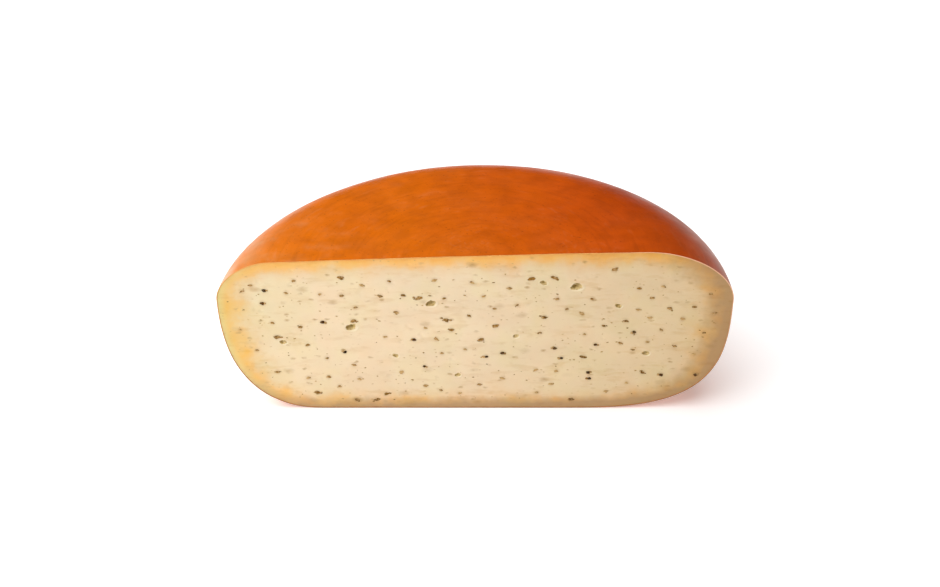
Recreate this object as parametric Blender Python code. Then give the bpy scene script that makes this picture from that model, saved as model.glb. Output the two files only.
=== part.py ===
"""Half of a round herb cheese, cut straight down through the middle and standing on its flat foot.

One solid in metres, +Z up: the coated round of the wheel lies to the back (+Y) and the flat cut face looks
to the front (-Y). The knife has opened small eyes in the face, and the larger pieces of herb stand a little
proud of it. The origin is the middle of the footprint's box, at the height of the ground.
"""

import math
import random

import bmesh
import bpy
from mathutils import Matrix

MM = 0.001

# The wheel. It is widest a little below its top, where the round edge turns down, and from there it tapers
# in one long curve to a narrower flat foot.
WHEEL_RADIUS = 175 * MM
RIM_HEIGHT = 121.5 * MM
CROWN = 1.5 * MM
GIRTH_HEIGHT = 89.1 * MM
TOP_RADIUS = 127.0 * MM
FOOT_RADIUS = 84.4 * MM
# Powers of the two curves: 1 is a straight chamfer, 2 a quarter of an ellipse, and more is boxier.
SHOULDER_POWER = 1.85
SIDE_POWER = 2.77

# It settled unevenly on its shelf. Each drift and TOP_RISE is how far the right end (+X) departs, and the
# left end departs by as much the other way. BACK_RISE is how much higher the rim is at the back, and
# OUT_OF_ROUND the share of the radius that bulges at the back's right and is missing at its left.
TOP_RISE = 5.3 * MM
BACK_RISE = 4.5 * MM
TOP_RADIUS_DRIFT = -12.1 * MM
FOOT_RADIUS_DRIFT = -22.2 * MM
SIDE_POWER_DRIFT = 0.38
OUT_OF_ROUND = 0.02

# Facets of the turned round, and the angle past which an edge between two of them stays sharp.
SPIN_STEPS = 46
SIDE_STEPS = 17
SHOULDER_STEPS = 13
TOP_STEPS = 5
SHARP_ANGLE = math.radians(40)
MERGE_DISTANCE = 0.001 * MM

# Pieces of herb in the cut face. Each is pressed in by its sink and stands proud by its rise, narrows to its
# top, has corners that are uneven by up to these shares, and is turned in the face by up to the angle.
HERB_RISE = 0.5 * MM
HERB_SINK = 1.0 * MM
HERB_SIDES = 7
HERB_TOP_SHARE = 0.72
HERB_UNEVENNESS = (0.78, 1.12)
HERB_TURN = 0.6
SEED_SIZE = (3.4 * MM, 2.8 * MM)
LEAF_SIZE = (4.8 * MM, 2.4 * MM)
CRUMB_SIZE = (3.0 * MM, 1.9 * MM)
HERB_EDGE_MARGIN = 12 * MM
SCATTERED_CRUMBS = 72
SCATTER_TRIES = 8
SCATTER_SEED = 29

# The dark seeds and the leaf pieces that stand out most: millimetres right of the middle and up from the foot.
MAIN_SEEDS_MM = (
    (-104, 71), (8, 43), (55, 50), (-144, 86), (-90, 47), (83, 53), (-35, 35), (-42, 57),
    (109, 63), (60, 42), (19, 46), (79, 30), (80, 25), (-142, 96), (154, 28), (130, 28),
)
MAIN_LEAVES_MM = (
    (-83, 72), (-38, 90), (53, 106), (-90, 92), (-16, 65), (47, 75), (-20, 73), (-136, 59),
    (14, 68), (38, 105), (4, 57), (132, 82), (93, 112), (-90, 106), (103, 72), (75, 43),
    (-111, 13), (-83, 7), (-69, 7), (-62, 12), (68, 7),
)

# Eyes that the knife opened: millimetres right, millimetres up, and the width of the mouth.
EYES_MM = (
    (-85, 67, 7.5), (-30, 86, 7.0), (68, 99, 8.0), (46, 102, 5.0), (-132, 55, 5.0),
    (28, 60, 4.5), (97, 84, 5.0), (-55, 44, 4.5), (118, 46, 5.5), (-12, 28, 4.5),
)
EYE_FLATNESS = 0.62
EYE_DEPTH_SHARE = 0.42
EYE_UNEVENNESS = (0.9, 1.08)
EYE_TURN = 0.5
EYE_SEED = 7

PASTE_COLOR = (0.80, 0.66, 0.44)
PASTE_ROUGHNESS = 0.55
COAT_COLOR = (0.60, 0.13, 0.01)
COAT_ROUGHNESS = 0.38
HERB_COLOR = (0.05, 0.035, 0.012)
HERB_ROUGHNESS = 0.8

CUT_Y = -(WHEEL_RADIUS - HERB_RISE) / 2


def clear_scene():
    for thing in list(bpy.data.objects):
        bpy.data.objects.remove(thing)


def collection(name):
    made = bpy.data.collections.new(name)
    bpy.context.scene.collection.children.link(made)
    return made


def material(name, color, roughness, metallic=0.0):
    """A Principled material of one even colour."""
    made = bpy.data.materials.new(name)
    made.use_nodes = True
    shader = made.node_tree.nodes["Principled BSDF"]
    shader.inputs["Base Color"].default_value = (*color, 1.0)
    shader.inputs["Roughness"].default_value = roughness
    shader.inputs["Metallic"].default_value = metallic
    return made


def object_from(bm, name, owner, *finishes):
    mesh = bpy.data.meshes.new(name)
    bm.to_mesh(mesh)
    bm.free()
    for finish in finishes:
        mesh.materials.append(finish)
    made = bpy.data.objects.new(name, mesh)
    owner.objects.link(made)
    return made


def corner(share, power):
    """Run and rise, each 0 to 1, along a quarter of a superellipse from its flat end to its upright end."""
    turn = share * math.pi / 2
    return math.sin(turn) ** (2 / power), math.cos(turn) ** (2 / power)


def section(azimuth):
    """The wheel's outline at this azimuth as (radius, height) pairs, from the foot's middle to the top's."""
    drift = math.cos(azimuth)
    foot = FOOT_RADIUS + FOOT_RADIUS_DRIFT * drift
    top = TOP_RADIUS + TOP_RADIUS_DRIFT * drift
    side_power = SIDE_POWER + SIDE_POWER_DRIFT * drift
    rim_rise = TOP_RISE * drift + BACK_RISE * math.sin(azimuth)

    outline = [(0.0, 0.0)]
    for step in range(SIDE_STEPS + 1):
        run, rise = corner(step / SIDE_STEPS, side_power)
        outline.append((foot + (WHEEL_RADIUS - foot) * run, GIRTH_HEIGHT * (1 - rise)))
    upper = []
    for step in range(SHOULDER_STEPS):
        run, rise = corner(step / SHOULDER_STEPS, SHOULDER_POWER)
        upper.append((top + (WHEEL_RADIUS - top) * run, rise))
    for step in range(TOP_STEPS):
        upper.insert(step, (top * step / TOP_STEPS, 1.0))
    for radius, rise in reversed(upper):
        reach = radius / WHEEL_RADIUS
        full_height = RIM_HEIGHT + CROWN * (1 - reach**2) + rim_rise * reach
        outline.append((radius, GIRTH_HEIGHT + (full_height - GIRTH_HEIGHT) * rise))
    return outline


def half_round(paste, coat, owner):
    """Half a turn of the outline, in the coat's colour, closed by the flat cut face in the paste's."""
    bm = bmesh.new()
    station = bm.verts.layers.int.new("station")
    chain = [bm.verts.new((radius, 0.0, height)) for radius, height in section(0.0)]
    for index, vert in enumerate(chain):
        vert[station] = index
    edges = [bm.edges.new(pair) for pair in zip(chain, chain[1:])]
    bmesh.ops.spin(
        bm, geom=chain + edges, cent=(0, 0, 0), axis=(0, 0, 1), angle=math.pi, steps=SPIN_STEPS,
        use_merge=False, use_duplicate=False,
    )
    for vert in bm.verts:
        azimuth = math.atan2(max(vert.co.y, 0.0), vert.co.x)
        radius, height = section(azimuth)[vert[station]]
        radius *= 1 + OUT_OF_ROUND * math.sin(2 * azimuth)
        vert.co = (radius * math.cos(azimuth), radius * math.sin(azimuth), height)
    bmesh.ops.remove_doubles(bm, verts=bm.verts, dist=MERGE_DISTANCE)
    for face in bm.faces:
        face.material_index = 1
    open_edges = [edge for edge in bm.edges if edge.is_boundary]
    cut_face = bmesh.ops.holes_fill(bm, edges=open_edges, sides=0)["faces"]
    for face in cut_face:
        face.material_index = 0
    bmesh.ops.recalc_face_normals(bm, faces=bm.faces)
    bmesh.ops.translate(bm, verts=bm.verts, vec=(0, CUT_Y, 0))
    wheel = object_from(bm, "half_wheel", owner, paste, coat)
    wheel.data.shade_smooth()
    wheel.data.set_sharp_from_angle(angle=SHARP_ANGLE)
    return wheel


def inside_face(x, z, margin):
    """Whether this spot of the cut face lies inside its outline by about the margin."""
    drift = math.copysign(1.0, x)
    across = abs(x)
    reach = WHEEL_RADIUS - margin
    if z < GIRTH_HEIGHT:
        flat = FOOT_RADIUS + FOOT_RADIUS_DRIFT * drift
        rise = (GIRTH_HEIGHT - z) / (GIRTH_HEIGHT - margin)
        power = SIDE_POWER
    else:
        flat = TOP_RADIUS + TOP_RADIUS_DRIFT * drift - margin
        rise = (z - GIRTH_HEIGHT) / (RIM_HEIGHT - TOP_RISE - margin - GIRTH_HEIGHT)
        power = SHOULDER_POWER
    run = max(across - flat, 0.0) / (reach - flat)
    return run**power + rise**power < 1


def scattered_spots(rng, taken):
    """An even, seeded scatter: of several random spots, each new one is the furthest from all the others."""
    taken = list(taken)
    spots = []
    while len(spots) < SCATTERED_CRUMBS:
        tries = []
        while len(tries) < SCATTER_TRIES:
            x = rng.uniform(-WHEEL_RADIUS, WHEEL_RADIUS)
            z = rng.uniform(0, RIM_HEIGHT)
            if inside_face(x, z, HERB_EDGE_MARGIN):
                tries.append((x, z))
        spot = max(tries, key=lambda here: min(math.dist(here, other) for other in taken))
        spots.append(spot)
        taken.append(spot)
    return spots


def herb(name, x, z, size, rng, finish, owner):
    """One broken piece of herb: a low, uneven, flat-topped crumb lying in the cut face."""
    length, width = size
    bm = bmesh.new()
    bmesh.ops.create_cone(
        bm, cap_ends=True, segments=HERB_SIDES, radius1=0.5, radius2=0.5 * HERB_TOP_SHARE,
        depth=HERB_RISE + HERB_SINK,
    )
    for vert in bm.verts:
        uneven = rng.uniform(*HERB_UNEVENNESS)
        vert.co.x *= length * uneven
        vert.co.y *= width * uneven
    turn = rng.uniform(-HERB_TURN, HERB_TURN)
    bmesh.ops.rotate(bm, verts=bm.verts, matrix=Matrix.Rotation(turn, 3, "Z"))
    bmesh.ops.rotate(bm, verts=bm.verts, matrix=Matrix.Rotation(math.pi / 2, 3, "X"))
    middle_y = CUT_Y + (HERB_SINK - HERB_RISE) / 2
    bmesh.ops.translate(bm, verts=bm.verts, vec=(x, middle_y, z))
    return object_from(bm, name, owner, finish)


def eye(name, x, z, mouth, rng, owner, finish):
    """The cutter of one eye: an uneven flattened ball, sunk so that its widest part is the mouth."""
    bm = bmesh.new()
    bmesh.ops.create_icosphere(bm, subdivisions=2, radius=0.5)
    for vert in bm.verts:
        vert.co *= rng.uniform(*EYE_UNEVENNESS)
    bmesh.ops.scale(bm, verts=bm.verts, vec=(mouth, 2 * EYE_DEPTH_SHARE * mouth, EYE_FLATNESS * mouth))
    turn = rng.uniform(-EYE_TURN, EYE_TURN)
    bmesh.ops.rotate(bm, verts=bm.verts, matrix=Matrix.Rotation(turn, 3, "Y"))
    bmesh.ops.translate(bm, verts=bm.verts, vec=(x, CUT_Y, z))
    cutter = object_from(bm, name, owner, finish)
    cutter.hide_render = True
    cutter.display_type = "WIRE"
    return cutter


def apply_boolean(target, others, operation):
    """Joins or cuts with every object of a collection, makes it permanent and clears the collection away."""
    modifier = target.modifiers.new(operation.lower(), "BOOLEAN")
    modifier.operation = operation
    modifier.operand_type = "COLLECTION"
    modifier.collection = others
    modifier.material_mode = "TRANSFER"
    bpy.context.view_layer.update()
    graph = bpy.context.evaluated_depsgraph_get()
    made = bpy.data.meshes.new_from_object(target.evaluated_get(graph))
    target.modifiers.clear()
    target.data = made
    made.name = target.name
    for thing in list(others.objects):
        bpy.data.objects.remove(thing)
    bpy.data.collections.remove(others)


def cut_eyes(wheel, finish):
    """Opens every eye in the cut face."""
    eyes = collection("eye_cutters")
    rng = random.Random(EYE_SEED)
    for number, (x, z, mouth) in enumerate(EYES_MM):
        eye(f"eye_{number}", x * MM, z * MM, mouth * MM, rng, eyes, finish)
    apply_boolean(wheel, eyes, "DIFFERENCE")


def press_in_herbs(wheel, finish):
    """Fuses the seeds, the leaf pieces and the scattered crumbs to the cut face, the largest first."""
    rng = random.Random(SCATTER_SEED)
    seeds = [(x * MM, z * MM) for x, z in MAIN_SEEDS_MM]
    leaves = [(x * MM, z * MM) for x, z in MAIN_LEAVES_MM]
    mouths = [(x * MM, z * MM) for x, z, mouth in EYES_MM]
    crumbs = scattered_spots(rng, seeds + leaves + mouths)
    spots = [(spot, LEAF_SIZE) for spot in leaves] + [(spot, SEED_SIZE) for spot in seeds]
    spots += [(spot, CRUMB_SIZE) for spot in crumbs]
    herbs = collection("herbs")
    for number, ((x, z), size) in enumerate(spots):
        herb(f"herb_{number}", x, z, size, rng, finish, herbs)
    apply_boolean(wheel, herbs, "UNION")


def build():
    clear_scene()
    cheese = collection("half_herb_cheese")
    paste = material("cream_paste", PASTE_COLOR, PASTE_ROUGHNESS)
    coat = material("orange_coat", COAT_COLOR, COAT_ROUGHNESS)
    dried_herb = material("dried_herb", HERB_COLOR, HERB_ROUGHNESS)
    wheel = half_round(paste, coat, cheese)
    cut_eyes(wheel, paste)
    press_in_herbs(wheel, dried_herb)


build()
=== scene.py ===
import math
import random

import bmesh
import bpy
from mathutils import Matrix, Vector, noise
from mathutils.bvhtree import BVHTree
from mathutils.kdtree import KDTree


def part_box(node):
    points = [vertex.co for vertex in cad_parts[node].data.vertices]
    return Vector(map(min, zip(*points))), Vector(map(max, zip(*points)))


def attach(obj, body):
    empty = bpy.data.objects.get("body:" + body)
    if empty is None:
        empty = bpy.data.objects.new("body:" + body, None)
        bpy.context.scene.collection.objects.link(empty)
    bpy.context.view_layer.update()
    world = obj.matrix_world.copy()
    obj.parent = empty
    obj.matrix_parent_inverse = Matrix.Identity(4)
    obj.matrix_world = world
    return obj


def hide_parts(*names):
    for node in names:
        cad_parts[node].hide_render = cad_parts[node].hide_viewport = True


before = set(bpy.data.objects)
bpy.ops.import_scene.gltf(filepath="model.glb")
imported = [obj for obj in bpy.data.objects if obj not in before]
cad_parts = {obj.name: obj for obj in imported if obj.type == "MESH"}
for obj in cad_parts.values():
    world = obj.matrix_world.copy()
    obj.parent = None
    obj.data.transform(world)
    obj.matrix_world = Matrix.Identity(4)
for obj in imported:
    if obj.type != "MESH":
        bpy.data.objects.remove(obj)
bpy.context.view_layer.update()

# ---- The paste -----------------------------------------------------------------------------------------
# The cheese itself: curd pressed in a round mould, then slumped a little on its shelf, so that it is widest
# high on its side and tapers to a flat foot. It is cream inside and dried golden next to the coat. One knife
# cut halved the wheel, dragged its face a little and opened small eyes, whose moist walls show the curd.

MM = 0.001
TINY = 0.001 * MM

# The wheel's outline, as in the solid: a round shoulder above the girth and one long curve below it.
WHEEL_RADIUS = 175 * MM
RIM_HEIGHT = 121.5 * MM
CROWN = 1.5 * MM
GIRTH_HEIGHT = 89.1 * MM
TOP_RADIUS = 127.0 * MM
FOOT_RADIUS = 84.4 * MM
SHOULDER_POWER = 1.85
SIDE_POWER = 2.77
# How far the right end departs from these; the left end departs by as much the other way.
TOP_RISE = 5.3 * MM
TOP_RADIUS_DRIFT = -12.1 * MM
FOOT_RADIUS_DRIFT = -22.2 * MM
SIDE_POWER_DRIFT = 0.38
# How much higher the rim is at the back, and how far the plan departs from a circle.
BACK_RISE = 4.5 * MM
OUT_OF_ROUND = 0.02

# The herbs stand this far out of the cut face, so the face lies as far behind the front of the solid's box.
HERB_RISE = 0.5 * MM
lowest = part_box("half_wheel")[0]
CUT_Y = lowest.y + HERB_RISE

# Two layers of shallow dents, each a depth, a width and a seed. Below this height they fade out to the foot.
DENTS = ((0.45 * MM, 55 * MM, 3), (0.15 * MM, 13 * MM, 8))
DENTED_HEIGHT = 6 * MM

# Steps of the mesh up the side, round the shoulder and over each flat, and round the half turn.
PASTE_STEPS = (26, 18, 5)
PASTE_SPIN_STEPS = 60
# The paste reaches a little into its coat, so that no gap shows.
COAT_THICKNESS = 0.6 * MM
COAT_OVERLAP = 0.15 * MM


def corner(share, power):
    """Run and rise, each 0 to 1, along a quarter of a superellipse from its flat end to its upright end."""
    turn = share * math.pi / 2
    return math.sin(turn) ** (2 / power), math.cos(turn) ** (2 / power)


def section(azimuth, steps):
    """The wheel's outline at this azimuth as (radius, height) pairs, from the foot's middle to the top's."""
    side_steps, shoulder_steps, flat_steps = steps
    drift = math.cos(azimuth)
    foot = FOOT_RADIUS + FOOT_RADIUS_DRIFT * drift
    top = TOP_RADIUS + TOP_RADIUS_DRIFT * drift
    side_power = SIDE_POWER + SIDE_POWER_DRIFT * drift
    rim_rise = TOP_RISE * drift + BACK_RISE * math.sin(azimuth)

    outline = [(foot * step / flat_steps, 0.0) for step in range(flat_steps)]
    for step in range(side_steps + 1):
        run, rise = corner(step / side_steps, side_power)
        outline.append((foot + (WHEEL_RADIUS - foot) * run, GIRTH_HEIGHT * (1 - rise)))
    upper = [(top * step / flat_steps, 1.0) for step in range(flat_steps)]
    for step in range(shoulder_steps):
        run, rise = corner(step / shoulder_steps, SHOULDER_POWER)
        upper.append((top + (WHEEL_RADIUS - top) * run, rise))
    for radius, rise in reversed(upper):
        reach = radius / WHEEL_RADIUS
        full_height = RIM_HEIGHT + CROWN * (1 - reach**2) + rim_rise * reach
        outline.append((radius, GIRTH_HEIGHT + (full_height - GIRTH_HEIGHT) * rise))
    return outline


def hollow(point, layers):
    """How deep smooth random hollows are at this point; each layer is a depth, a width and a seed."""
    return sum(
        depth * (0.5 + 0.5 * noise.noise(point / width + Vector((seed, 0, 0))))
        for depth, width, seed in layers
    )


def in_order(bm):
    """Sorts edges and faces by their vertices, as spin, extrude and solidify leave them in an order that
    varies from run to run. Three vertices are enough to tell any two faces apart."""
    bm.verts.index_update()
    count = len(bm.verts)

    def number(part):
        key = 0
        for index in sorted(vert.index for vert in part.verts)[:3]:
            key = key * count + index
        return key

    bm.edges.sort(key=number)
    bm.faces.sort(key=number)


def turned_half(steps, spin_steps, inset):
    """Half a turn of the outline, an open shell whose cut edge lies in the plane of the cut. Its skin has the
    shallow dents of a hand-turned wheel, and lies this far inside them."""
    bm = bmesh.new()
    station = bm.verts.layers.int.new("station")
    chain = [bm.verts.new((radius, 0.0, height)) for radius, height in section(0.0, steps)]
    for index, vert in enumerate(chain):
        vert[station] = index
    edges = [bm.edges.new(pair) for pair in zip(chain, chain[1:])]
    bmesh.ops.spin(
        bm, geom=chain + edges, cent=(0, 0, 0), axis=(0, 0, 1), angle=math.pi, steps=spin_steps,
        use_merge=False, use_duplicate=False,
    )
    in_order(bm)
    sections = {}
    for vert in bm.verts:
        azimuth = math.atan2(max(vert.co.y, 0.0), vert.co.x)
        turn = round(azimuth * spin_steps / math.pi)
        if turn not in sections:
            sections[turn] = section(azimuth, steps)
        radius, height = sections[turn][vert[station]]
        radius *= 1 + OUT_OF_ROUND * math.sin(2 * azimuth)
        vert.co = (radius * math.cos(azimuth), radius * math.sin(azimuth), height)
    bmesh.ops.remove_doubles(bm, verts=bm.verts, dist=TINY)
    bmesh.ops.recalc_face_normals(bm, faces=bm.faces)
    rim = [vert for vert in bm.verts if vert.is_boundary]
    for vert in bm.verts:
        dents = hollow(vert.co, DENTS) * min(vert.co.z / DENTED_HEIGHT, 1.0)
        vert.co -= vert.normal * (dents + inset)
    for vert in rim:
        vert.co.y = 0.0
    bmesh.ops.translate(bm, verts=bm.verts, vec=(0, CUT_Y, 0))
    return bm


def close_shell(bm, way):
    """Draws the open edge of a shell out this way and closes it there."""
    rim = [edge for edge in bm.edges if edge.is_boundary]
    drawn = bmesh.ops.extrude_edge_only(bm, edges=rim)["geom"]
    drawn_verts = [part for part in drawn if isinstance(part, bmesh.types.BMVert)]
    in_order(bm)
    bmesh.ops.translate(bm, verts=drawn_verts, vec=way)
    bmesh.ops.holes_fill(bm, edges=[edge for edge in bm.edges if edge.is_boundary], sides=0)
    bmesh.ops.recalc_face_normals(bm, faces=bm.faces)


def new_object(bm, name, finishes):
    """Makes the mesh an object of the scene, with these finishes."""
    mesh = bpy.data.meshes.new(name)
    bm.to_mesh(mesh)
    bm.free()
    for finish in finishes:
        mesh.materials.append(finish)
    made = bpy.data.objects.new(name, mesh)
    bpy.context.scene.collection.objects.link(made)
    return made


def dress(piece, sharp_degrees):
    """Smooths a finished piece, which rides with the wheel and stands for its solid."""
    piece.data.shade_smooth()
    piece.data.set_sharp_from_angle(angle=math.radians(sharp_degrees))
    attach(piece, "root")
    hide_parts("half_wheel")


def new_finish(name, roughness, specular):
    """A Principled material, its node tree and its shader."""
    made = bpy.data.materials.new(name)
    made.use_nodes = True
    shader = made.node_tree.nodes["Principled BSDF"]
    shader.inputs["Roughness"].default_value = roughness
    shader.inputs["Specular IOR Level"].default_value = specular
    return made, made.node_tree, shader


def place_on_cheese(tree, stretch=(1, 1, 1)):
    """Coordinates in metres that are fixed to the cheese; a stretch over 1 squeezes the pattern."""
    place = tree.nodes.new("ShaderNodeTexCoord")
    mapping = tree.nodes.new("ShaderNodeMapping")
    mapping.inputs["Scale"].default_value = stretch
    tree.links.new(place.outputs["Object"], mapping.inputs["Vector"])
    return mapping.outputs["Vector"]


def place_parts(tree):
    """The X, Y and Z of the place on the cheese."""
    parts = tree.nodes.new("ShaderNodeSeparateXYZ")
    tree.links.new(place_on_cheese(tree), parts.inputs["Vector"])
    return parts.outputs


def noise_on_cheese(tree, lump, detail=2.0, stretch=(1, 1, 1)):
    """Noise that is fixed to the cheese, in lumps of this size."""
    texture = tree.nodes.new("ShaderNodeTexNoise")
    texture.inputs["Scale"].default_value = 1 / lump
    texture.inputs["Detail"].default_value = detail
    tree.links.new(place_on_cheese(tree, stretch), texture.inputs["Vector"])
    return texture.outputs["Fac"]


def attribute(tree, name):
    """A value that is stored on the mesh's vertices."""
    made = tree.nodes.new("ShaderNodeAttribute")
    made.attribute_name = name
    return made.outputs["Fac"]


def ramp(tree, value, stops):
    """A colour ramp: each stop is a place from 0 to 1 and a colour or a grey level."""
    made = tree.nodes.new("ShaderNodeValToRGB")
    while len(made.color_ramp.elements) < len(stops):
        made.color_ramp.elements.new(0.5)
    for element, (place, color) in zip(made.color_ramp.elements, stops):
        element.position = place
        element.color = (*color, 1.0) if isinstance(color, tuple) else (color, color, color, 1.0)
    tree.links.new(value, made.inputs["Fac"])
    return made.outputs["Color"]


def mixed(tree, mode, factor, first, second):
    """Mixes two colours; the factor and the colours are sockets or plain values."""
    made = tree.nodes.new("ShaderNodeMix")
    made.data_type = "RGBA"
    made.blend_type = mode
    for socket, value in ((made.inputs[0], factor), (made.inputs[6], first), (made.inputs[7], second)):
        if isinstance(value, bpy.types.NodeSocket):
            tree.links.new(value, socket)
        elif isinstance(value, tuple):
            socket.default_value = (*value, 1.0)
        else:
            socket.default_value = value
    return made.outputs[2]


def calculated(tree, operation, *values):
    """One sum on sockets or numbers."""
    made = tree.nodes.new("ShaderNodeMath")
    made.operation = operation
    for socket, value in zip(made.inputs, values):
        if isinstance(value, bpy.types.NodeSocket):
            tree.links.new(value, socket)
        else:
            socket.default_value = value
    return made.outputs[0]


def product(tree, first, *others):
    """Sockets or numbers multiplied with each other."""
    for other in others:
        first = calculated(tree, "MULTIPLY", first, other)
    return first


def straying(tree, lump, detail, spread):
    """Noise about zero in lumps of this size, with this spread between its lowest and highest values."""
    return calculated(tree, "MULTIPLY_ADD", noise_on_cheese(tree, lump, detail), spread, -spread / 2)


def share_across(tree):
    """How far across the wheel the place is: 0 at its left end and 1 at its right end."""
    return calculated(tree, "MULTIPLY_ADD", place_parts(tree)["X"], 0.5 / WHEEL_RADIUS, 0.5)


def bumped(tree, shader, layers):
    """Stacks bumps on the shader's normal: each is a height, its strength and its depth in metres."""
    before = None
    for height, strength, depth in layers:
        bump = tree.nodes.new("ShaderNodeBump")
        bump.inputs["Strength"].default_value = strength
        bump.inputs["Distance"].default_value = depth
        tree.links.new(height, bump.inputs["Height"])
        if before:
            tree.links.new(before, bump.inputs["Normal"])
        before = bump.outputs["Normal"]
    tree.links.new(before, shader.inputs["Normal"])


# Herb that shows through from just under the face, as soft flecks in a grid of cells. For each kind: the size
# of a cell, the share of the cells that hold a fleck, the strength and the colour.
FLECKS = (
    (2.4 * MM, 0.40, 0.9, (0.50, 0.29, 0.10)),
    (5 * MM, 0.42, 1.0, (0.42, 0.225, 0.065)),
    (9 * MM, 0.26, 0.8, (0.42, 0.235, 0.075)),
)
# A fleck's radius, in cells, is this and up to this much more. The flecks are drawn out sideways, and a noise
# of this scale and weight pulls their outlines about.
FLECK_RADIUS = 0.096
FLECK_GROWTH = 0.24
FLECK_STRETCH = (0.55, 0.55, 1.0)
FLECK_WOBBLE_SCALE = 420
FLECK_WOBBLE_WEIGHT = 0.0022


def sunken_flecks(tree, cell, kept_share):
    """How strongly the flecks of one kind show here."""
    place = place_on_cheese(tree, FLECK_STRETCH)
    wobble = tree.nodes.new("ShaderNodeTexNoise")
    wobble.inputs["Scale"].default_value = FLECK_WOBBLE_SCALE
    tree.links.new(place, wobble.inputs["Vector"])
    moved = tree.nodes.new("ShaderNodeMix")
    moved.data_type = "VECTOR"
    moved.inputs[0].default_value = FLECK_WOBBLE_WEIGHT
    tree.links.new(place, moved.inputs[4])
    tree.links.new(wobble.outputs["Color"], moved.inputs[5])
    cells = tree.nodes.new("ShaderNodeTexVoronoi")
    cells.inputs["Scale"].default_value = 1 / cell
    tree.links.new(moved.outputs[1], cells.inputs["Vector"])
    chance = tree.nodes.new("ShaderNodeSeparateColor")
    tree.links.new(cells.outputs["Color"], chance.inputs["Color"])
    kept = calculated(tree, "LESS_THAN", chance.outputs["Red"], kept_share)
    size = calculated(tree, "MULTIPLY_ADD", chance.outputs["Green"], FLECK_GROWTH, FLECK_RADIUS)
    near = calculated(tree, "DIVIDE", cells.outputs["Distance"], size)
    soft = calculated(tree, "MAXIMUM", calculated(tree, "SUBTRACT", 1.0, near), 0.0)
    return product(tree, soft, product(tree, chance.outputs["Blue"], kept))


# The paste from the rind inwards, its yellow left edge, dried tan and painted shade, herb marks and painted
# lip highlights.
GOLD_TO_CREAM = [
    (0.0, (0.91, 0.45, 0.09)), (0.14, (0.91, 0.50, 0.13)), (0.30, (0.89, 0.53, 0.20)),
    (0.45, (0.85, 0.58, 0.30)), (0.62, (0.85, 0.63, 0.38)), (0.82, (0.86, 0.665, 0.425)),
    (1.0, (0.86, 0.68, 0.45)),
]
EDGE_YELLOW = (0.83, 0.62, 0.27)
DRIED_TAN_AND_SHADE = (0.51, 0.325, 0.165)
HERB_STAIN = (0.50, 0.28, 0.10)
LIP_HIGHLIGHT = (0.95, 0.86, 0.62)
# Tints that the paste is multiplied by: faint green to pink clouds, a faint green tint at the left end and
# painted shade at the right end, mottle, and the seams between the pressed curds.
CLOUDS = [(0.38, (0.985, 1.0, 0.955)), (0.5, (1.0, 1.0, 1.0)), (0.62, (1.0, 0.975, 0.97))]
END_TINTS_AND_SHADE = [
    (0.0, (0.88, 0.98, 0.94)), (0.12, (0.985, 0.985, 0.965)), (0.25, (1.0, 1.0, 1.0)),
    (0.5, (1.0, 1.0, 1.0)), (0.95, (0.885, 0.84, 0.72)),
]
MOTTLE = [(0.3, 0.94), (0.7, 1.0)]
CURD_SEAMS = [(0.32, (0.93, 0.88, 0.80)), (0.46, (1.0, 1.0, 1.0))]

paste, tree, shader = new_finish("cut_paste", 0.5, 0.4)
gold_edge = straying(tree, 13 * MM, 4, 0.9)
inwards = calculated(tree, "MULTIPLY_ADD", attribute(tree, "rind_share"), 0.72, gold_edge)
color = ramp(tree, inwards, GOLD_TO_CREAM)
color = mixed(tree, "MIX", attribute(tree, "pale_rim"), color, EDGE_YELLOW)
# Dried tan and painted shade at the foot, and painted shade at the right end, in one colour.
tan_and_shade = calculated(tree, "ADD", attribute(tree, "rind_tan_and_shade"), straying(tree, 9 * MM, 3, 0.5))
tan_and_shade = product(tree, ramp(tree, tan_and_shade, [(0.10, 0.0), (0.65, 1.0)]), 0.9)
color = mixed(tree, "MIX", tan_and_shade, color, DRIED_TAN_AND_SHADE)
clouds = ramp(tree, noise_on_cheese(tree, 24 * MM, 2), CLOUDS)
end_tints_and_shade = ramp(tree, share_across(tree), END_TINTS_AND_SHADE)
mottle = ramp(tree, noise_on_cheese(tree, 22 * MM, 4, (0.6, 1, 1.2)), MOTTLE)
seams = ramp(tree, noise_on_cheese(tree, 5 * MM, 5, (0.35, 1, 1.2)), CURD_SEAMS)
for tint, weight in ((clouds, 1.0), (end_tints_and_shade, 1.0), (mottle, 1.0), (seams, 0.8)):
    color = mixed(tree, "MULTIPLY", weight, color, tint)
for cell, kept_share, strength, fleck_color in FLECKS:
    flecks = product(tree, sunken_flecks(tree, cell, kept_share), strength)
    color = mixed(tree, "MIX", flecks, color, fleck_color)
color = mixed(tree, "MIX", product(tree, attribute(tree, "herb_stain"), 0.42), color, HERB_STAIN)
# A painted highlight on each eye's lip, most at its lower right, where the light falls.
color = mixed(tree, "MIX", product(tree, attribute(tree, "eye_lip_highlight"), 0.55), color, LIP_HIGHLIGHT)
tree.links.new(color, shader.inputs["Base Color"])
silky = ramp(tree, noise_on_cheese(tree, 9 * MM, 4, (0.5, 1, 1)), [(0.3, 0.42), (0.7, 0.60)])
tree.links.new(silky, shader.inputs["Roughness"])
shader.inputs["Subsurface Weight"].default_value = 0.12
shader.inputs["Subsurface Radius"].default_value = (1.0, 0.6, 0.3)
shader.inputs["Subsurface Scale"].default_value = 2.0 * MM
bumped(tree, shader, [
    (noise_on_cheese(tree, 6 * MM, 4, (0.4, 1, 1)), 0.35, 0.25 * MM),
    (noise_on_cheese(tree, 1.1 * MM, 3, (0.6, 1, 1)), 0.30, 0.10 * MM),
])

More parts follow.
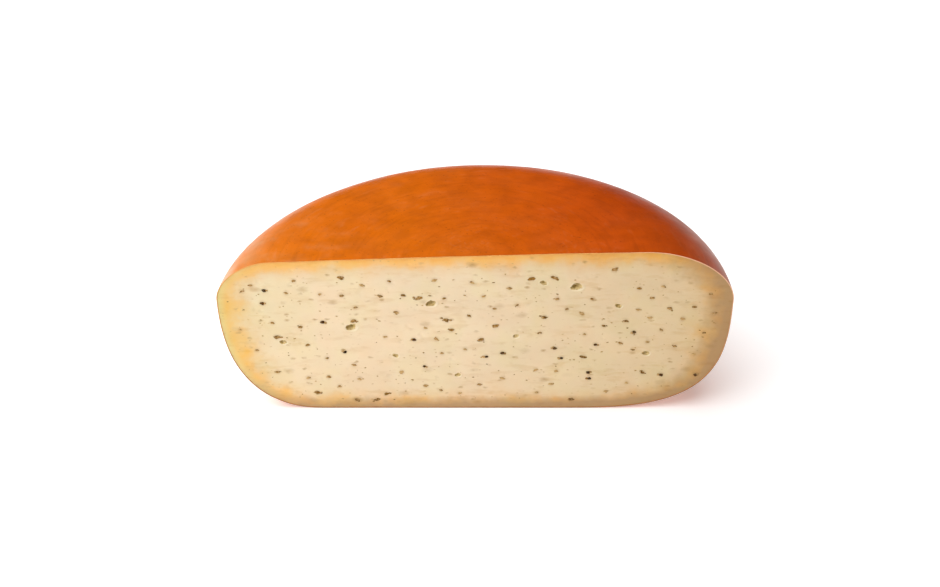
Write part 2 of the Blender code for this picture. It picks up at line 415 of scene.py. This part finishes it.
# An eye's wall is painted darker over this depth, as shade in its hollow, and the grains of the curd show in
# it.
EYE_SHADE_DEPTH = 3 * MM
EYE_SHADE_TONES = [(0.0, (0.90, 0.73, 0.44)), (0.35, (0.82, 0.64, 0.32)), (1.0, (0.58, 0.43, 0.17))]
CURD_GRAIN = 1.5 * MM
CURD_TONES = [(0.36, (0.66, 0.60, 0.46)), (0.50, (1.0, 1.0, 1.0))]

eye_wall, tree, shader = new_finish("eye_wall", 0.22, 0.5)
into_eye = calculated(
    tree, "MULTIPLY_ADD", place_parts(tree)["Y"], 1 / EYE_SHADE_DEPTH, -CUT_Y / EYE_SHADE_DEPTH,
)
curd = noise_on_cheese(tree, CURD_GRAIN, 3)
color = mixed(tree, "MULTIPLY", 1.0, ramp(tree, into_eye, EYE_SHADE_TONES), ramp(tree, curd, CURD_TONES))
tree.links.new(color, shader.inputs["Base Color"])
bumped(tree, shader, [(curd, 0.8, 0.5 * MM)])

# The turned round, run a little past the knife and closed there.
KNIFE_OVERRUN = 4 * MM

bm = turned_half(PASTE_STEPS, PASTE_SPIN_STEPS, COAT_THICKNESS - COAT_OVERLAP)
rind = BVHTree.FromBMesh(bm)
close_shell(bm, (0, -KNIFE_OVERRUN, 0))
paste_piece = new_object(bm, "paste", [paste, eye_wall])

# Eyes that the knife opened, as in the solid: millimetres right, millimetres up, and the mouth's width.
EYES_MM = (
    (-85, 67, 7.5), (-30, 86, 7.0), (68, 99, 8.0), (46, 102, 5.0), (-132, 55, 5.0),
    (28, 60, 4.5), (97, 84, 5.0), (-55, 44, 4.5), (118, 46, 5.5), (-12, 28, 4.5),
)
EYE_FLATNESS = 0.62
EYE_DEPTH_SHARE = 0.42
EYE_TURN = 0.5
EYE_SEED = 7
# Two layers of lumps in an eye's wall, each a height and a fineness.
EYE_LUMPS = ((0.30, 2.2), (0.22, 4.8))

# The knife raised a lip round each mouth: a small share of it all round, and the rest at the lower right. The
# lip's middle, its width and how far it reaches are in radii of the mouth.
LIP_RISE = 0.3 * MM
LIP_MIDDLE = 1.25
LIP_WIDTH = 0.25
LIP_REACH = 2
LIP_ALL_ROUND = 0.1

# The knife's face is larger than the wheel by this many cells and by this much on each side, across and up.
# Its waves are drawn out along the cut, at this share of their fineness; each is a depth, a width and a seed.
KNIFE_CELL = 0.95 * MM
KNIFE_SPARE_CELLS = (8, 16)
KNIFE_SPARE = (4 * MM, 8 * MM)
KNIFE_DRAG = 0.5
KNIFE_WAVES = ((0.22 * MM, 24 * MM, 5), (0.10 * MM, 3.2 * MM, 6))
# Small pits where curds parted, this many times as wide as high.
PITS = 150
PIT_RADIUS_MM = (1.2, 2.6)
PIT_DEPTH_MM = (0.15, 0.45)
PIT_FLATNESS = 1.6


def near_an_eye(point):
    """Whether this point of the cut face is so near to an eye that it needs finer cells."""
    return any(math.hypot(point.x - x * MM, point.z - z * MM) < mouth * MM for x, z, mouth in EYES_MM)


def lip(x, z):
    """How much of a lip the knife raised here, from 0 to about 1."""
    raised = 0.0
    for eye_x, eye_z, mouth in EYES_MM:
        right = x - eye_x * MM
        up = (z - eye_z * MM) / EYE_FLATNESS
        away = math.hypot(right, up)
        ring = away / (0.5 * mouth * MM)
        if ring < LIP_REACH:
            leeward = max((right - up) / (math.sqrt(2) * away + TINY), 0.0)
            share = LIP_ALL_ROUND + (1 - LIP_ALL_ROUND) * leeward**2
            raised += share * math.exp(-(((ring - LIP_MIDDLE) / LIP_WIDTH) ** 2))
    return raised


def bulge(point, offset, lumps):
    """How far a ball bulges at this point; each layer of lumps is a height and a fineness."""
    return sum(height * noise.noise(point * fineness + offset) for height, fineness in lumps)


rng = random.Random(EYE_SEED)
pits = KDTree(PITS)
pit_sizes = []
for index in range(PITS):
    x = rng.uniform(-WHEEL_RADIUS, WHEEL_RADIUS)
    z = rng.uniform(0, RIM_HEIGHT)
    pits.insert((x, 0, PIT_FLATNESS * z), index)
    pit_sizes.append((rng.uniform(*PIT_RADIUS_MM) * MM, rng.uniform(*PIT_DEPTH_MM) * MM))
pits.balance()

# The knife: a block whose back is the fine, faintly uneven face that it leaves.
bm = bmesh.new()
bmesh.ops.create_grid(
    bm, size=1.0,
    x_segments=int(2 * WHEEL_RADIUS / KNIFE_CELL) + KNIFE_SPARE_CELLS[0],
    y_segments=int(RIM_HEIGHT / KNIFE_CELL) + KNIFE_SPARE_CELLS[1],
)
half_size = (WHEEL_RADIUS + KNIFE_SPARE[0], 1, 0.5 * RIM_HEIGHT + KNIFE_SPARE[1])
bmesh.ops.rotate(bm, verts=bm.verts, matrix=Matrix.Rotation(math.pi / 2, 3, "X"))
bmesh.ops.scale(bm, verts=bm.verts, vec=half_size)
bmesh.ops.translate(bm, verts=bm.verts, vec=(0, CUT_Y, 0.5 * RIM_HEIGHT))
near_eyes = [edge for edge in bm.edges if near_an_eye(edge.verts[0].co)]
bmesh.ops.subdivide_edges(bm, edges=near_eyes, cuts=2, use_grid_fill=True)
for vert in bm.verts:
    if vert.is_boundary:
        continue
    sunk = hollow(Vector((KNIFE_DRAG * vert.co.x, 0, vert.co.z)), KNIFE_WAVES)
    _, index, away = pits.find((vert.co.x, 0, PIT_FLATNESS * vert.co.z))
    pit_radius, pit_depth = pit_sizes[index]
    if away < pit_radius:
        sunk += pit_depth * (1 - (away / pit_radius) ** 2) ** 2
    vert.co.y += sunk - LIP_RISE * lip(vert.co.x, vert.co.z)
close_shell(bm, (0, -3 * KNIFE_OVERRUN, 0))
knife = new_object(bm, "knife", [paste])

bm = bmesh.new()
for x, z, mouth in EYES_MM:
    ball = bmesh.ops.create_icosphere(bm, subdivisions=3, radius=0.5)["verts"]
    for vert in ball:
        vert.co *= 1.0 + bulge(vert.co, Vector((x, z, 0)), EYE_LUMPS)
    size = Vector((mouth, 2 * EYE_DEPTH_SHARE * mouth, EYE_FLATNESS * mouth)) * MM
    bmesh.ops.scale(bm, verts=ball, vec=size)
    bmesh.ops.rotate(bm, verts=ball, matrix=Matrix.Rotation(rng.uniform(-EYE_TURN, EYE_TURN), 3, "Y"))
    bmesh.ops.translate(bm, verts=ball, vec=(x * MM, CUT_Y, z * MM))
eyes = new_object(bm, "eyes", [eye_wall])

for cutter in (knife, eyes):
    modifier = paste_piece.modifiers.new(cutter.name, "BOOLEAN")
    modifier.operation = "DIFFERENCE"
    modifier.material_mode = "TRANSFER"
    modifier.object = cutter
bpy.context.view_layer.update()
graph = bpy.context.evaluated_depsgraph_get()
cut_mesh = bpy.data.meshes.new_from_object(paste_piece.evaluated_get(graph))
paste_piece.modifiers.clear()
paste_piece.data = cut_mesh
bpy.data.objects.remove(knife)
bpy.data.objects.remove(eyes)

# How deep the gold reaches from the coat: under the top, at the two ends and above the foot. The tones run on
# inwards to this many times that depth, and the yellow of the left edge is this wide.
GOLD_UNDER_TOP = 12 * MM
GOLD_AT_ENDS = 27 * MM
GOLD_OVER_FOOT = 13 * MM
INNER_SHARE = 1.4
YELLOW_WIDTH = 6 * MM
# The lowest few millimetres, where the rind turns under by more than this, dried to a dull tan and are
# painted with
# shade under the wheel: so much of it in the middle, and this much more painted shade at the right end.
TAN_AND_SHADE_HEIGHT = 11 * MM
TAN_AND_SHADE_UNDERCUT = 0.35
TAN_AND_SHADE_AT_FOOT = 0.9
SHADE_MORE_RIGHT = 0.35
# A wider band at the right end is painted in the same tan as shade; it starts and is full this far right of
# the middle.
SHADED_END_WIDTH = 24 * MM
SHADED_END_START = 50 * MM
SHADED_END_FULL = 150 * MM
SHADE_AT_END = 0.85
# What lies deeper than this is the wall of an eye, and gets no painted highlight of the lip.
FACE_DEPTH = 1 * MM
SHARP_DEGREES = 40


def faded(away, width):
    """1 at no distance, falling evenly to 0 at this width."""
    return max(1.0 - away / width, 0.0)


def store(mesh, name, values):
    """Stores a value on each vertex, for the finish to read."""
    mesh.attributes.new(name, "FLOAT", "POINT").data.foreach_set("value", values)


tones = {"rind_share": [], "rind_tan_and_shade": [], "pale_rim": [], "eye_lip_highlight": []}
for vert in cut_mesh.vertices:
    _, normal, _, away = rind.find_nearest(vert.co)
    level = GOLD_UNDER_TOP if normal.z > 0 else GOLD_OVER_FOOT
    width = level + (GOLD_AT_ENDS - level) * normal.x**2
    tones["rind_share"].append(min(away / width, INNER_SHARE))
    tones["pale_rim"].append(max(-normal.x, 0.0) * faded(away, YELLOW_WIDTH))
    # Dried tan and painted shade at the foot, more at the right end, and painted shade up the right end.
    under = max((-normal.z - TAN_AND_SHADE_UNDERCUT) / (1 - TAN_AND_SHADE_UNDERCUT), 0.0) * faded(away, TAN_AND_SHADE_HEIGHT)
    under *= TAN_AND_SHADE_AT_FOOT + SHADE_MORE_RIGHT * vert.co.x / WHEEL_RADIUS
    rightward = min(max((vert.co.x - SHADED_END_START) / (SHADED_END_FULL - SHADED_END_START), 0.0), 1.0)
    right = SHADE_AT_END * rightward * math.sqrt(max(normal.x, 0.0)) * faded(away, SHADED_END_WIDTH)
    tones["rind_tan_and_shade"].append(max(under, right))
    on_face = vert.co.y < CUT_Y + FACE_DEPTH
    tones["eye_lip_highlight"].append(min(lip(vert.co.x, vert.co.z), 1.0) if on_face else 0.0)
for name, values in tones.items():
    store(cut_mesh, name, values)
dress(paste_piece, SHARP_DEGREES)


# ---- The herbs -----------------------------------------------------------------------------------------
# Dried herb, stirred into the curd before pressing: hard dark seeds, broken green-brown leaf, red-brown husk
# and fine dust. The press laid them flat and the knife sheared them, so they show end-on in the cut face.

# Seeds and leaf pieces that stand out, as in the solid: millimetres right and millimetres up.
MAIN_SEEDS_MM = (
    (-104, 71), (8, 43), (55, 50), (-144, 86), (-90, 47), (83, 53), (-35, 35), (-42, 57),
    (109, 63), (60, 42), (19, 46), (79, 30), (80, 25), (-142, 96), (154, 28), (130, 28),
)
MAIN_LEAVES_MM = (
    (-83, 72), (-38, 90), (53, 106), (-90, 92), (-16, 65), (47, 75), (-20, 73), (-136, 59),
    (14, 68), (38, 105), (4, 57), (132, 82), (93, 112), (-90, 106), (103, 72), (75, 43),
    (-111, 13), (-83, 7), (-69, 7), (-62, 12), (68, 7),
)
SCATTERED_CRUMBS = 72
SCATTER_TRIES = 8
SCATTER_SEED = 29
HERB_EDGE_MARGIN = 12 * MM

# Each kind of herb: its length and width, how far it stands out, how ragged it is, and its most shards.
SEED = ((2.9 * MM, 2.1 * MM), 0.42 * MM, 0.45, 0)
LEAF = ((4.4 * MM, 2.1 * MM), 0.34 * MM, 0.8, 3)
LEAF_CRUMB = ((3.0 * MM, 1.6 * MM), 0.30 * MM, 0.8, 2)
HUSK = ((2.2 * MM, 1.6 * MM), 0.25 * MM, 0.7, 1)
HUSK_CRUMB = ((3.0 * MM, 1.6 * MM), 0.24 * MM, 0.8, 2)
# How much a crumb is turned in the face and scaled, and its two layers of lumps.
HERB_TURN = 0.35
HERB_SCALE = (0.75, 1.15)
HERB_LUMPS = ((1.0, 3.0), (0.5, 7.0))
# A shard's share of its crumb's length, its plumpness, and how far off it lies in lengths and widths.
SHARD_SHARE = (0.25, 0.5)
SHARD_PLUMPNESS = 1.2
SHARD_REACH = (0.75, 0.8)
# A seed's husk lies this far to one side of it, and up to this far above or below.
HUSK_ASIDE_MM = (1.2, 1.9)
HUSK_UP_MM = 0.5

DUST_SPECKS = 200
DUST_EDGE_MARGIN = 7 * MM
DUST_SIZE_MM = (0.4, 1.3)
DUST_STRETCH = (1.0, 1.9)
DUST_WIDTH_SHARE = 0.7
DUST_RISE = 0.15 * MM
DUST_RAGGEDNESS = 0.5

HERB_SPECULAR = 0.12
HERB_SHARP_DEGREES = 80
SMEARED_PASTE = (0.64, 0.42, 0.19)
STAIN_REACH = 2.8 * MM


def inside_face(x, z, margin):
    """Whether this spot of the cut face lies inside its outline by about the margin."""
    drift = math.copysign(1.0, x)
    across = abs(x)
    reach = WHEEL_RADIUS - margin
    if z < GIRTH_HEIGHT:
        flat = FOOT_RADIUS + FOOT_RADIUS_DRIFT * drift
        rise = (GIRTH_HEIGHT - z) / (GIRTH_HEIGHT - margin)
        power = SIDE_POWER
    else:
        flat = TOP_RADIUS + TOP_RADIUS_DRIFT * drift - margin
        rise = (z - GIRTH_HEIGHT) / (RIM_HEIGHT - TOP_RISE - margin - GIRTH_HEIGHT)
        power = SHOULDER_POWER
    run = max(across - flat, 0.0) / (reach - flat)
    return run**power + rise**power < 1


def random_spot(rng, margin):
    """A random spot of the cut face that lies inside its outline by about the margin."""
    while True:
        x = rng.uniform(-WHEEL_RADIUS, WHEEL_RADIUS)
        z = rng.uniform(0, RIM_HEIGHT)
        if inside_face(x, z, margin):
            return x, z


def scattered_spots(rng, taken):
    """An even, seeded scatter: of several random spots, each new one is the furthest from all the others."""
    taken = list(taken)
    spots = []
    while len(spots) < SCATTERED_CRUMBS:
        tries = [random_spot(rng, HERB_EDGE_MARGIN) for _ in range(SCATTER_TRIES)]
        spot = max(tries, key=lambda here: min(math.dist(here, other) for other in taken))
        spots.append(spot)
        taken.append(spot)
    return spots


def add_crumb(bm, rng, x, z, size, rise, raggedness, most_shards, fineness=2):
    """One crumb of herb, half sunk in the cut face, and up to this many smaller shards that broke off it."""
    turn = Matrix.Rotation(rng.uniform(-HERB_TURN, HERB_TURN), 3, "Y")
    scale = rng.uniform(*HERB_SCALE)
    for shard in range(1 + rng.randint(0, most_shards)):
        ball = bmesh.ops.create_icosphere(bm, subdivisions=fineness, radius=0.5)["verts"]
        offset = Vector((x, z, 0)) / MM + Vector((0, 0, 5 * shard))
        for vert in ball:
            vert.co *= 1.0 + raggedness * bulge(vert.co, offset, HERB_LUMPS)
        length, width = (scale * extent for extent in size)
        place = Vector((0, 0, 0))
        if shard:
            share = rng.uniform(*SHARD_SHARE)
            along, up = (rng.uniform(-reach, reach) for reach in SHARD_REACH)
            place = Vector((along * length, 0, up * width))
            length, width = share * length, SHARD_PLUMPNESS * share * width
        bmesh.ops.scale(bm, verts=ball, vec=(length, 2 * rise, width))
        bmesh.ops.translate(bm, verts=ball, vec=place)
        bmesh.ops.rotate(bm, verts=ball, cent=(0, 0, 0), matrix=turn)
        bmesh.ops.translate(bm, verts=ball, vec=(x, CUT_Y, z))
        for vert in ball:
            vert.co.y = max(vert.co.y, lowest.y)


def herb_finish(name, dark, light, roughness, smear):
    """Dull dried herb that varies between two colours, with this much paste smeared over it by the knife."""
    made, tree, shader = new_finish(name, roughness, HERB_SPECULAR)
    color = ramp(tree, noise_on_cheese(tree, 5 * MM, 3), [(0.38, dark), (0.62, light)])
    smeared = ramp(tree, noise_on_cheese(tree, 1.3 * MM, 3), [(0.45, 0.0), (0.60, smear)])
    color = mixed(tree, "MIX", smeared, color, SMEARED_PASTE)
    tree.links.new(color, shader.inputs["Base Color"])
    bumped(tree, shader, [(noise_on_cheese(tree, 0.5 * MM, 2), 0.5, 0.1 * MM)])
    return made


rng = random.Random(SCATTER_SEED)
seeds = [(x * MM, z * MM) for x, z in MAIN_SEEDS_MM]
leaves = [(x * MM, z * MM) for x, z in MAIN_LEAVES_MM]
mouths = [(x * MM, z * MM) for x, z, mouth in EYES_MM]
crumbs = scattered_spots(rng, seeds + leaves + mouths)

bm = bmesh.new()
for x, z in seeds:
    add_crumb(bm, rng, x, z, *SEED)
dark_seed = herb_finish("dark_seed", (0.022, 0.008, 0.002), (0.11, 0.042, 0.008), 0.6, 0.15)
dress(new_object(bm, "dark_seeds", [dark_seed]), HERB_SHARP_DEGREES)

bm = bmesh.new()
for x, z in leaves:
    add_crumb(bm, rng, x, z, *LEAF)
for x, z in crumbs[0::3]:
    add_crumb(bm, rng, x, z, *LEAF_CRUMB)
dried_leaf = herb_finish("dried_leaf", (0.13, 0.056, 0.008), (0.36, 0.18, 0.04), 0.8, 0.6)
dress(new_object(bm, "leaf_pieces", [dried_leaf]), HERB_SHARP_DEGREES)

bm = bmesh.new()
for x, z in seeds:
    aside = rng.choice((-1, 1)) * rng.uniform(*HUSK_ASIDE_MM) * MM
    up = rng.uniform(-HUSK_UP_MM, HUSK_UP_MM) * MM
    add_crumb(bm, rng, x + aside, z + up, *HUSK)
for x, z in crumbs[1::3] + crumbs[2::3]:
    add_crumb(bm, rng, x, z, *HUSK_CRUMB)
brown_husk = herb_finish("brown_husk", (0.28, 0.135, 0.035), (0.62, 0.385, 0.15), 0.8, 0.8)
dress(new_object(bm, "husk_pieces", [brown_husk]), HERB_SHARP_DEGREES)

bm = bmesh.new()
for _ in range(DUST_SPECKS):
    x, z = random_spot(rng, DUST_EDGE_MARGIN)
    size = rng.uniform(*DUST_SIZE_MM) * MM
    extents = (size * rng.uniform(*DUST_STRETCH), size * DUST_WIDTH_SHARE)
    add_crumb(bm, rng, x, z, extents, DUST_RISE, DUST_RAGGEDNESS, 0, fineness=1)
herb_dust = herb_finish("herb_dust", (0.24, 0.11, 0.025), (0.54, 0.33, 0.12), 0.8, 0.5)
dress(new_object(bm, "herb_dust", [herb_dust]), HERB_SHARP_DEGREES)

# The paste is stained where it touches herb.
herb_spots = seeds + leaves + crumbs
nearest_herb = KDTree(len(herb_spots))
for index, (x, z) in enumerate(herb_spots):
    nearest_herb.insert((x, 0, z), index)
nearest_herb.balance()
stains = []
for vert in cut_mesh.vertices:
    _, _, away = nearest_herb.find((vert.co.x, 0, vert.co.z))
    stains.append(faded(away, STAIN_REACH))
store(cut_mesh, "herb_stain", stains)


# ---- The coat ------------------------------------------------------------------------------------------
# A skin of orange cheese coating, brushed on in thin layers over the whole wheel and dried to a soft gloss.
# It follows every dent of the round. The knife cut it with the cheese, and left its edge as a fine lip.

COAT_STEPS = (44, 30, 16)
COAT_SPIN_STEPS = 150
COAT_LIP = 0.12 * MM
# A face of the coat that looks this squarely along the cut is its cut edge.
CUT_EDGE_FACING = 0.95

# The brush went round the wheel, and so did what rubbed it later: the marks are this wide, and this far apart
# per radian of the turn.
BRUSH_WIDTH = 3.0 * MM
BRUSH_RUN = 11 * MM
RUB_WIDTH = 2.6 * MM
RUB_RUN = 26 * MM

ORANGES = [(0.3, (0.72, 0.175, 0.002)), (0.7, (0.80, 0.215, 0.003))]
# Painted shade that the orange is multiplied by: none at the left end, where the light falls, and the most at
# the right end, which is turned from the light. At the back there is more, by this share, reached this far
# behind the cut.
PAINTED_SHADE_ACROSS = [
    (0.05, (1.0, 1.0, 1.0)), (0.2, (0.93, 0.78, 0.5)), (0.5, (0.86, 0.62, 0.3)),
    (0.76, (0.80, 0.44, 0.2)), (0.90, (0.64, 0.30, 0.12)), (1.0, (0.56, 0.27, 0.11)),
]
PAINTED_SHADE_AT_BACK = 0.08
BACK_WAY = 60 * MM
# A pale dusty bloom lies at the foot; a painted sheen lies by height on the shoulder and by radius on the
# top's edge.
BLOOM_AND_SHEEN = (0.66, 0.42, 0.23)
BLOOM_AND_SHEEN_BY_HEIGHT = [
    (12 * MM, 0.30), (30 * MM, 0.04), (80 * MM, 0.07), (97 * MM, 0.60), (108 * MM, 0.45), (119 * MM, 0.0),
]
SHEEN_BY_RADIUS = [(138 * MM, 0.0), (160 * MM, 0.4)]
SHEEN_ON_TOP = [(104 * MM, 0.0), (112 * MM, 1.0)]
# Streaks of the coat are rubbed pale, most of all on the shoulder.
RUBBED = (0.84, 0.42, 0.22)
RUBBED_BY_HEIGHT = [(30 * MM, 0.35), (95 * MM, 1.0), (118 * MM, 0.25)]


def way_from_cut(tree):
    """How far behind the cut the place is, in metres."""
    return calculated(tree, "ADD", place_parts(tree)["Y"], -CUT_Y)


def way_from_axis(tree):
    """How far from the wheel's axis the place is, in metres."""
    flat = tree.nodes.new("ShaderNodeCombineXYZ")
    tree.links.new(place_parts(tree)["X"], flat.inputs["X"])
    tree.links.new(way_from_cut(tree), flat.inputs["Y"])
    radius = tree.nodes.new("ShaderNodeVectorMath")
    radius.operation = "LENGTH"
    tree.links.new(flat.outputs["Vector"], radius.inputs[0])
    return radius.outputs["Value"]


def marks_round_wheel(tree, width, run, detail):
    """Noise drawn out round the wheel, this wide, with its lumps this far apart per radian of the turn."""
    parts = place_parts(tree)
    azimuth = calculated(tree, "ARCTAN2", way_from_cut(tree), parts["X"])
    wound = tree.nodes.new("ShaderNodeCombineXYZ")
    tree.links.new(way_from_axis(tree), wound.inputs["X"])
    tree.links.new(product(tree, azimuth, run), wound.inputs["Y"])
    tree.links.new(parts["Z"], wound.inputs["Z"])
    texture = tree.nodes.new("ShaderNodeTexNoise")
    texture.inputs["Scale"].default_value = 1 / width
    texture.inputs["Detail"].default_value = detail
    tree.links.new(wound.outputs["Vector"], texture.inputs["Vector"])
    return texture.outputs["Fac"]


coat, tree, shader = new_finish("orange_coat", 0.36, 0.28)
height = place_parts(tree)["Z"]
strokes = marks_round_wheel(tree, BRUSH_WIDTH, BRUSH_RUN, 4)
rubs = marks_round_wheel(tree, RUB_WIDTH, RUB_RUN, 3)
# How much shade is painted here: more towards the right end, and more behind the cut.
behind = ramp(tree, way_from_cut(tree), [(0.0, 0.0), (BACK_WAY, 1.0)])
thickness = calculated(tree, "ADD", share_across(tree), product(tree, behind, PAINTED_SHADE_AT_BACK))

# The orange, with blotches and strokes, pinholes painted as shade, and painted shade to the right and back.
color = ramp(tree, noise_on_cheese(tree, 70 * MM, 3), ORANGES)
blotches = ramp(tree, noise_on_cheese(tree, 14 * MM, 5), [(0.35, 0.80), (0.6, 1.0)])
stroke_tones = ramp(tree, strokes, [(0.3, 0.84), (0.5, 1.0), (0.7, 1.0)])
# Pinholes are only painted: darker dots of painted shade, as in small pits.
pinhole_shade = ramp(tree, noise_on_cheese(tree, 1.7 * MM, 1), [(0.68, 1.0), (0.74, 0.72)])
# The painted shade lies mostly on the top and fades down the side.
painted_shade_tint = ramp(tree, thickness, PAINTED_SHADE_ACROSS)
upper = ramp(tree, height, [(60 * MM, 0.2), (112 * MM, 1.0)])
for tint, weight in ((blotches, 0.7), (stroke_tones, 0.6), (pinhole_shade, 1.0), (painted_shade_tint, upper)):
    color = mixed(tree, "MULTIPLY", weight, color, tint)

# The bloom and painted sheen, broken into patches and thin towards the right end and the back, where shade is
# painted.
stray_height = calculated(tree, "ADD", height, straying(tree, 16 * MM, 5, 30 * MM))
bloom_and_sheen_on_side = ramp(tree, stray_height, BLOOM_AND_SHEEN_BY_HEIGHT)
sheen_on_top = product(
    tree, ramp(tree, way_from_axis(tree), SHEEN_BY_RADIUS), ramp(tree, height, SHEEN_ON_TOP),
)
bloom_and_sheen = product(
    tree,
    calculated(tree, "MAXIMUM", bloom_and_sheen_on_side, sheen_on_top),
    ramp(tree, noise_on_cheese(tree, 20 * MM, 5), [(0.38, 0.25), (0.58, 1.0)]),
    ramp(tree, thickness, [(0.10, 1.0), (0.25, 0.5), (0.6, 0.2)]),
)
color = mixed(tree, "MIX", bloom_and_sheen, color, BLOOM_AND_SHEEN)

# The rubbed streaks, in patches and fainter towards the right end and the back, where shade is painted.
rubbed = product(
    tree,
    ramp(tree, height, RUBBED_BY_HEIGHT),
    ramp(tree, rubs, [(0.55, 0.0), (0.72, 0.4)]),
    ramp(tree, noise_on_cheese(tree, 28 * MM, 2), [(0.48, 0.1), (0.62, 1.0)]),
    ramp(tree, thickness, [(0.4, 1.0), (0.9, 0.55)]),
)
color = mixed(tree, "MIX", rubbed, color, RUBBED)
tree.links.new(color, shader.inputs["Base Color"])
dull = ramp(tree, noise_on_cheese(tree, 26 * MM, 4), [(0.3, 0.30), (0.7, 0.46)])
tree.links.new(dull, shader.inputs["Roughness"])
bumped(tree, shader, [
    (noise_on_cheese(tree, 8 * MM, 3), 0.35, 0.4 * MM),
    (strokes, 0.3, 0.15 * MM),
    (noise_on_cheese(tree, 1.1 * MM, 2), 0.25, 0.06 * MM),
])

# The coat's cut edge: amber, with a painted highlight at the right end, and browner towards the foot, partly
# as painted shade.
EDGE_AMBERS = [(0.3, (0.70, 0.30, 0.06)), (0.7, (0.84, 0.44, 0.11))]
EDGE_HIGHLIGHT = (0.86, 0.52, 0.34)
EDGE_BROWN_AND_SHADE = (0.36, 0.21, 0.10)

coat_edge, tree, shader = new_finish("cut_coat", 0.5, 0.4)
color = ramp(tree, noise_on_cheese(tree, 12 * MM, 3), EDGE_AMBERS)
# A painted highlight where the cut edge catches the light at the right end.
painted_highlight = ramp(tree, place_parts(tree)["X"], [(85 * MM, 0.0), (135 * MM, 0.8)])
color = mixed(tree, "MIX", painted_highlight, color, EDGE_HIGHLIGHT)
# Browner towards the foot: partly the coat's own brown, partly painted shade where the wheel meets the floor.
high = ramp(tree, place_parts(tree)["Z"], [(20 * MM, 0.0), (100 * MM, 1.0)])
color = mixed(tree, "MIX", high, EDGE_BROWN_AND_SHADE, color)
tree.links.new(color, shader.inputs["Base Color"])

bm = turned_half(COAT_STEPS, COAT_SPIN_STEPS, 0.0)
for vert in bm.verts:
    vert.co.z = max(vert.co.z, 0.0)
    if vert.is_boundary:
        vert.co.y -= COAT_LIP
bmesh.ops.solidify(bm, geom=bm.faces[:], thickness=COAT_THICKNESS)
in_order(bm)
for face in bm.faces:
    if abs(face.normal.y) > CUT_EDGE_FACING and face.calc_center_median().y < CUT_Y:
        face.material_index = 1
dress(new_object(bm, "coat", [coat, coat_edge]), SHARP_DEGREES)


# ---- The studio ----------------------------------------------------------------------------------------
# A pale floor with a slight glow, under one broad soft light from above and a little from the front left.
# Three weaker lamps stand at the front left, at the back right and at the upper left. The surround is dim to
# the light and its reflections, and white to the camera.

FLOOR_SIZE = 30.0
FLOOR_GLOW = 0.28
DIM_SURROUND = (0.03, 0.03, 0.03)
SOFTBOX_POWER = 2.65
SOFTBOX_DEGREES = 70
SOFTBOX_WAY = (0.28, 0.12, -1.0)
# The lamps: where they stand, what they are aimed at, their width in metres and their power in watts.
LAMPS = {
    "key": ((-0.6, -0.6, 0.4), (0, CUT_Y, 0.06), 0.45, 2.2),
    "right_fill": ((1.1, 0.5, 0.3), (0.1, 0, 0.06), 0.7, 1.4),
    "upper_left": ((-0.55, 0.15, 0.5), (-0.05, 0, 0.12), 0.4, 1.4),
}

floor_finish, tree, shader = new_finish("white_floor", 0.9, 0.1)
shader.inputs["Base Color"].default_value = (0.96, 0.96, 0.96, 1.0)
shader.inputs["Emission Color"].default_value = (1.0, 1.0, 1.0, 1.0)
shader.inputs["Emission Strength"].default_value = FLOOR_GLOW
bm = bmesh.new()
bmesh.ops.create_grid(bm, x_segments=1, y_segments=1, size=FLOOR_SIZE / 2)
floor = new_object(bm, "floor", [floor_finish])

world = bpy.data.worlds.new("studio")
world.use_nodes = True
bpy.context.scene.world = world
tree = world.node_tree
rays = tree.nodes.new("ShaderNodeLightPath")
surround = mixed(tree, "MIX", rays.outputs["Is Camera Ray"], DIM_SURROUND, (1.0, 1.0, 1.0))
tree.links.new(surround, tree.nodes["Background"].inputs["Color"])


def new_light(name, kind, power, place, way):
    """A light at this place that shines this way."""
    light = bpy.data.lights.new(name, kind)
    light.energy = power
    made = bpy.data.objects.new(name, light)
    made.location = place
    made.rotation_euler = Vector(way).to_track_quat("-Z", "Y").to_euler()
    bpy.context.scene.collection.objects.link(made)
    return light


softbox = new_light("softbox", "SUN", SOFTBOX_POWER, (0, 0, 0), SOFTBOX_WAY)
softbox.angle = math.radians(SOFTBOX_DEGREES)
for name, (place, target, width, power) in LAMPS.items():
    lamp = new_light(name, "AREA", power, place, Vector(target) - Vector(place))
    lamp.shape = "DISK"
    lamp.size = width

# The camera looks straight at the cut face from 30 degrees above level, as the photograph does.
CAMERA_RISE = math.radians(30.2)
CAMERA_DISTANCE = 5 * WHEEL_RADIUS
CAMERA_TARGET = Vector((-0.0034, CUT_Y, 0.0938))
FOCAL_LENGTH = 49.76
SENSOR_WIDTH = 36.0

camera_data = bpy.data.cameras.new("camera")
camera_data.lens = FOCAL_LENGTH
camera_data.sensor_width = SENSOR_WIDTH
camera = bpy.data.objects.new("camera", camera_data)
back_and_up = Vector((0, -math.cos(CAMERA_RISE), math.sin(CAMERA_RISE)))
camera.location = CAMERA_TARGET + CAMERA_DISTANCE * back_and_up
camera.rotation_euler = (math.pi / 2 - CAMERA_RISE, 0, 0)
bpy.context.scene.collection.objects.link(camera)
bpy.context.scene.camera = camera
bpy.context.scene.view_settings.view_transform = "Standard"
